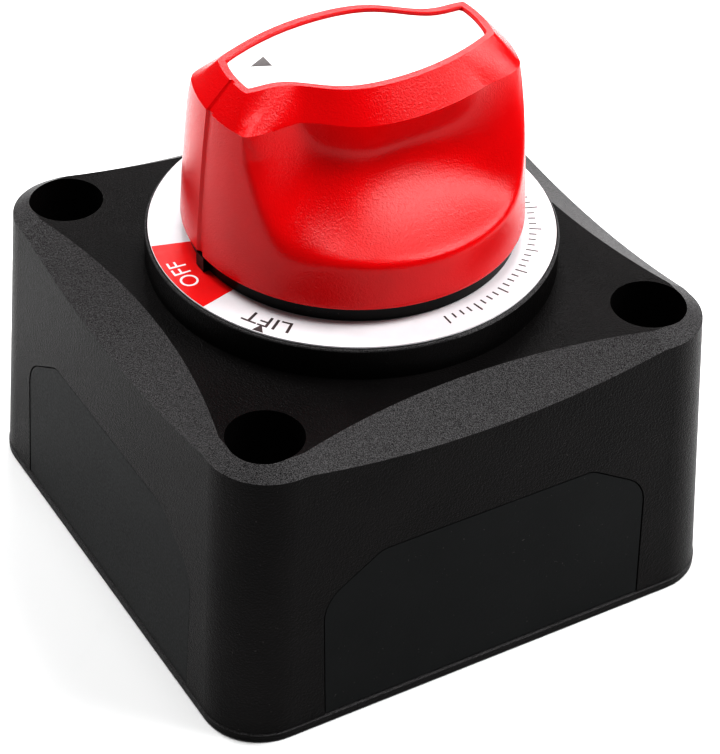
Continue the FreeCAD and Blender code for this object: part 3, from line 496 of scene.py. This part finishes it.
def knob_rows():
    """Rows of the knob's skin from the middle of its top, down outside, and back up inside.

    Each row is a height and a function from angle to a point (x, y), all in millimetres.
    """
    label_floor = KNOB_HIGH - LABEL_DROP_MM - FILM_MM - FILM_BED_MM
    label_inset = BEVEL_RUN_MM + RIM_MM
    over = matcher(KNOB_HIGH, BEVEL_RUN_MM)

    def top_point(angle, inset, scale=1.0):
        return round_point(over(angle), scale * grip_radius(over(angle), KNOB_HIGH, inset))

    def grip_point(angle, height):
        return round_point(angle, grip_radius(angle, height) - groove_depth(angle, GROOVE_AT_SKIRT_MM))

    def bevel_point(angle, share):
        inset = BEVEL_RUN_MM + groove_depth(angle, GROOVE_AT_BEVEL_MM)
        return top_point(angle, inset) * (1 - share) + grip_point(angle, SHOULDER_MM) * share

    def foot_point(angle, inset):
        return round_point(angle, full_radius(KNOB_LOW) - inset - groove_depth(angle, GROOVE_AT_SKIRT_MM))

    rows = [(label_floor, lambda a, s=share: top_point(a, label_inset, s)) for share in LABEL_BED_SHARES]
    for height in (label_floor + BED_EDGE_MM, KNOB_HIGH - LIP_DROP_MM):
        rows.append((height, lambda a: top_point(a, label_inset)))
    rows.append((KNOB_HIGH, lambda a: top_point(a, label_inset - LIP_RUN_MM)))
    for step in range(BEVEL_ROWS + 1):
        share = step / BEVEL_ROWS
        height = KNOB_HIGH + (SHOULDER_MM - KNOB_HIGH) * share
        rows.append((height, lambda a, s=share: bevel_point(a, s)))
    outside = [SHOULDER_MM - FIRST_ROW_MM - SCOOP_ROW_MM * step for step in range(SCOOP_ROWS)]
    outside += [FOOT_ROWS_TOP_MM - FOOT_ROW_MM * step for step in range(FOOT_ROWS)]
    outside += [*SKIRT_ROWS_MM, KNOB_LOW + SKIRT_EDGE_MM]
    for height in outside:
        rows.append((height, lambda a, h=height: grip_point(a, h)))
    for rise, inset in FOOT_ROUNDING:
        rows.append((KNOB_LOW + rise, lambda a, i=inset: foot_point(a, i)))
    hollow = ((KNOB_LOW, HOLLOW_MM + MOUTH_EDGE_MM), (KNOB_LOW + MOUTH_EDGE_MM, HOLLOW_MM),
              (HOLLOW_ROOF_MM, HOLLOW_MM))
    for height, radius in hollow:
        rows.append((height, lambda a, r=radius: round_point(a, r)))
    rows.append((HOLLOW_ROOF_MM, lambda a: round_point(a, socket_radius(a))))
    rows.append((SOCKET_ROOF_MM, lambda a: round_point(a, socket_radius(a))))
    rows.append((SOCKET_ROOF_MM, lambda a: Vector((0, 0))))
    return rows


def make_knob():
    """The red grip: a revolved skin whose rows are then drawn in to the grip's S-shaped outline."""
    rows = knob_rows()
    profile = [((index + 1) * MM, (len(rows) - index) * MM) for index in range(len(rows))]
    shape = spun(profile, OUTLINE_STEPS)
    for vert in shape.verts:
        height, point_at = rows[len(rows) - round(vert.co.z / MM)]
        angle = -math.atan2(vert.co.y, vert.co.x) % math.tau
        vert.co = Vector((*point_at(angle), height)) * MM
    bmesh.ops.remove_doubles(shape, verts=shape.verts, dist=MERGE_M)
    bmesh.ops.recalc_face_normals(shape, faces=shape.faces)
    smooth_by_angle(shape, 30)
    new_piece("knob_grip", shape, SLOT_FINISH["knob_plastic"], "knob_set", ("knob",))


def flat_plate(outline, floor, thickness, round_off):
    """A plate from an outline of (x, y) points, with its top edge rounded off."""
    shape = bmesh.new()
    shape.faces.new([shape.verts.new((x, y, floor)) for x, y in outline])
    raised(shape, thickness)
    if round_off:
        middle = floor + thickness / 2
        rim = [edge for edge in shape.edges if all(vert.co.z > middle for vert in edge.verts)]
        bmesh.ops.bevel(shape, geom=rim, offset=round_off, segments=2, affect="EDGES", profile=0.5,
                        material=-1)
    smooth_by_angle(shape, 40)
    return shape


def make_knob_film():
    """The white film in the knob's top and the arrow printed on it."""
    top = KNOB_HIGH - LABEL_DROP_MM
    inset = BEVEL_RUN_MM + RIM_MM + FILM_GAP_MM
    outline = []
    for step in range(FILM_STEPS):
        angle = math.tau * step / FILM_STEPS
        radius = grip_radius(-angle % math.tau, KNOB_HIGH, inset) * MM
        outline.append((radius * math.cos(angle), radius * math.sin(angle)))
    shape = flat_plate(outline, (top - FILM_MM) * MM, FILM_MM * MM, FILM_ROUND_MM * MM)
    new_piece("knob_film", shape, SLOT_FINISH["label_white"], "knob_set", ("knob_label",))
    arrow = [(x * MM, y * MM) for x, y in ARROW_MM]
    shape = flat_plate(arrow, top * MM, INK_MM * MM, 0)
    new_piece("knob_arrow", shape, INK_DARK, "knob_set")


# ---------------------------------------------------------------- dial

DIAL_TOP_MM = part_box("dial_label")[1].z / MM
DIAL_OUTER_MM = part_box("dial_label")[1].x / MM
DIAL_INNER_MM = 18.2
DIAL_MARGIN_MM = 0.05
FIELD_HALF = 15.8
OFF_AT = 180
ON_AT = 90
LIFT_AT = -145.5
OFF_SPAN = 13.0
ON_SPAN = 9.5
LIFT_SPAN = 15.0
FIELD_WORD_AT_MM = 22.8
FIELD_WORD_MM = 2.2
LIFT_WORD_AT_MM = 22.5
LIFT_WORD_MM = 1.9
LIFT_MARK = ((24.5, -147.7), (24.5, -144.4), (23.2, -146.3))
TICKS = 33
TICKS_FROM = -90
TICK_STEP = 2.9
TICK_INNER_MM = 21.3
TICK_WIDE_MM = 0.22
TICK_LONG_MM = 1.5
TICK_SHORT_MM = 0.9
TICKS_PER_LONG = 4


def ring_sector(low_degrees, high_degrees, inner_mm, outer_mm, floor_mm, thick_mm):
    """A thin flat sector of a ring."""
    shape = bmesh.new()
    start = Matrix.Rotation(math.radians(low_degrees), 3, "Z")
    spots = [Vector((radius * MM, 0, floor_mm * MM)) for radius in (inner_mm, outer_mm)]
    ends = [shape.verts.new(start @ spot) for spot in spots]
    edge = shape.edges.new(ends)
    sweep = math.radians(high_degrees - low_degrees)
    bmesh.ops.spin(shape, geom=ends + [edge], cent=(0, 0, 0), axis=(0, 0, 1), angle=sweep,
                   steps=max(2, round(math.degrees(sweep))))
    raised(shape, thick_mm * MM)
    return shape


LETTER_MERGE = 1e-5
LONG_EDGE = 0.25


def ring_word(name, text, middle_degrees, radius_mm, height_mm, span_degrees, material):
    """A word bent round the dial with its letters' tops outward, height_mm tall and span_degrees long."""
    curve = bpy.data.curves.new(name, "FONT")
    curve.body = text
    curve.resolution_u = 6
    holder = bpy.data.objects.new(name, curve)
    bpy.context.scene.collection.objects.link(holder)
    bpy.context.view_layer.update()
    mesh = bpy.data.meshes.new_from_object(holder.evaluated_get(bpy.context.evaluated_depsgraph_get()))
    bpy.data.objects.remove(holder)
    shape = bmesh.new()
    shape.from_mesh(mesh)
    bpy.data.meshes.remove(mesh)
    bmesh.ops.remove_doubles(shape, verts=shape.verts, dist=LETTER_MERGE)
    long_edges = [edge for edge in shape.edges if edge.calc_length() > LONG_EDGE]
    bmesh.ops.subdivide_edges(shape, edges=long_edges, cuts=3)
    left, right = (pick(v.co.x for v in shape.verts) for pick in (min, max))
    low, high = (pick(v.co.y for v in shape.verts) for pick in (min, max))
    for vert in shape.verts:
        along = (vert.co.x - (left + right) / 2) / (right - left)
        up = (vert.co.y - (low + high) / 2) / (high - low)
        angle = math.radians(middle_degrees - along * span_degrees)
        radius = (radius_mm + up * height_mm) * MM
        vert.co = Vector((radius * math.cos(angle), radius * math.sin(angle), (DIAL_TOP_MM + INK_MM) * MM))
    raised(shape, INK_MM * MM)
    new_piece(name, shape, material, "case")


def make_dial_field(name, middle, ink):
    """A coloured field of the dial, round the angle of a switch position."""
    shape = ring_sector(middle - FIELD_HALF, middle + FIELD_HALF, DIAL_INNER_MM,
                        DIAL_OUTER_MM - DIAL_MARGIN_MM, DIAL_TOP_MM, INK_MM)
    new_piece(name, shape, ink, "case")


def make_lift_mark():
    """The small triangle where the knob comes off."""
    turns = [(radius * MM, math.radians(degrees)) for radius, degrees in LIFT_MARK]
    corners = [(radius * math.cos(angle), radius * math.sin(angle)) for radius, angle in turns]
    shape = flat_plate(corners, DIAL_TOP_MM * MM, INK_MM * MM, 0)
    new_piece("dial_lift_mark", shape, INK_DARK, "case")


def make_ticks():
    """A plain scale of ticks, every fourth one long."""
    ticks = bmesh.new()
    for step in range(TICKS):
        angle = math.radians(TICKS_FROM + TICK_STEP * step)
        length = TICK_SHORT_MM if step % TICKS_PER_LONG else TICK_LONG_MM
        middle = Vector((TICK_INNER_MM + length / 2, 0, DIAL_TOP_MM + INK_MM / 2)) * MM
        size = Vector((length * MM, TICK_WIDE_MM * MM, INK_MM * MM, 1))
        place = Matrix.Rotation(angle, 4, "Z") @ Matrix.Translation(middle) @ Matrix.Diagonal(size)
        bmesh.ops.create_cube(ticks, size=1.0, matrix=place)
    new_piece("dial_ticks", ticks, INK_DARK, "case")


def make_dial_prints():
    """Everything printed on the dial: two fields, three words, the lift mark and the ticks."""
    make_dial_field("dial_off_field", OFF_AT, INK_RED)
    make_dial_field("dial_on_field", ON_AT, INK_GREEN)
    ring_word("dial_off_word", "OFF", OFF_AT, FIELD_WORD_AT_MM, FIELD_WORD_MM, OFF_SPAN, INK_WHITE)
    ring_word("dial_on_word", "ON", ON_AT, FIELD_WORD_AT_MM, FIELD_WORD_MM, ON_SPAN, INK_WHITE)
    ring_word("dial_lift_word", "LIFT", LIFT_AT, LIFT_WORD_AT_MM, LIFT_WORD_MM, LIFT_SPAN, INK_DARK)
    make_lift_mark()
    make_ticks()


# ---------------------------------------------------------------- stage, light and camera

CAMERA_TARGET = Vector((-5.369, -11.895, 30.0)) * MM
CAMERA_AZIMUTH = math.radians(-31.118)
CAMERA_ELEVATION = math.radians(38.671)
CAMERA_ROLL = math.radians(1.882)
CAMERA_DISTANCE = 326.6 * MM
CAMERA_LENS = 130.2
LIGHTS_FACE = Vector((0, 0, 0.04))
FLOOR_RADIUS_M = 0.8
FLOOR_BELOW_M = 0.0002
SKY_STRENGTH = 0.14


def make_camera():
    """A long lens that looks down over the near corner."""
    camera = bpy.data.objects.new("camera", bpy.data.cameras.new("camera"))
    camera.data.lens = CAMERA_LENS
    camera.data.sensor_width = 36.0
    camera.data.clip_start = 0.01
    level = math.cos(CAMERA_ELEVATION)
    back = Vector((math.sin(CAMERA_AZIMUTH) * level, -math.cos(CAMERA_AZIMUTH) * level,
                   math.sin(CAMERA_ELEVATION)))
    right = (-back).cross(Vector((0, 0, 1))).normalized()
    up = right.cross(-back)
    across = right * math.cos(CAMERA_ROLL) + up * math.sin(CAMERA_ROLL)
    above = up * math.cos(CAMERA_ROLL) - right * math.sin(CAMERA_ROLL)
    turn = Matrix((across, above, back)).transposed().to_4x4()
    camera.matrix_world = Matrix.Translation(CAMERA_TARGET + back * CAMERA_DISTANCE) @ turn
    bpy.context.scene.collection.objects.link(camera)
    bpy.context.scene.camera = camera


def soft_box(name, direction, distance, width, height, power):
    """A flat soft light that faces the middle of the switch."""
    lamp = bpy.data.lights.new(name, "AREA")
    lamp.shape = "RECTANGLE"
    lamp.size = width
    lamp.size_y = height
    lamp.energy = power
    holder = bpy.data.objects.new(name, lamp)
    towards = Vector(direction).normalized()
    holder.location = LIGHTS_FACE + towards * distance
    holder.rotation_euler = towards.to_track_quat("Z", "Y").to_euler()
    bpy.context.scene.collection.objects.link(holder)


def make_floor():
    """The plain pale floor of the studio."""
    shape = bmesh.new()
    bmesh.ops.create_circle(shape, cap_ends=True, segments=96, radius=FLOOR_RADIUS_M)
    finish = Finish("studio_floor", 0.8, 0.05)
    finish.colour(finish.mixed(finish.noise(40.0), (0.955, 0.955, 0.955), (0.965, 0.965, 0.965)))
    mesh = bpy.data.meshes.new("floor")
    shape.to_mesh(mesh)
    shape.free()
    mesh.materials.append(finish.material)
    floor = bpy.data.objects.new("floor", mesh)
    floor.location.z = -FLOOR_BELOW_M
    bpy.context.scene.collection.objects.link(floor)


def make_studio():
    """A dim even sky, and five soft lights round the switch."""
    world = bpy.data.worlds.new("studio")
    world.use_nodes = True
    sky = world.node_tree.nodes["Background"]
    sky.inputs["Color"].default_value = WHITE
    sky.inputs["Strength"].default_value = SKY_STRENGTH
    bpy.context.scene.world = world
    bpy.context.scene.view_settings.view_transform = "Standard"
    bpy.context.scene.view_settings.look = "High Contrast"
    soft_box("key_light", (0.80, -0.20, 0.57), 0.55, 0.19, 0.19, 0.95)
    soft_box("front_light", (0.44, -0.29, 0.85), 0.55, 0.20, 0.20, 1.4)
    soft_box("left_light", (-0.27, 0.63, 0.73), 0.55, 0.22, 0.22, 1.6)
    soft_box("top_light", (-0.06, -0.04, 1.0), 0.65, 0.20, 0.20, 1.1)
    soft_box("back_light", (0.48, 0.60, 0.62), 0.80, 0.40, 0.30, 2.2)


dress_cad_nodes()
make_knob()
make_knob_film()
make_dial_prints()
make_floor()
make_studio()
make_camera()
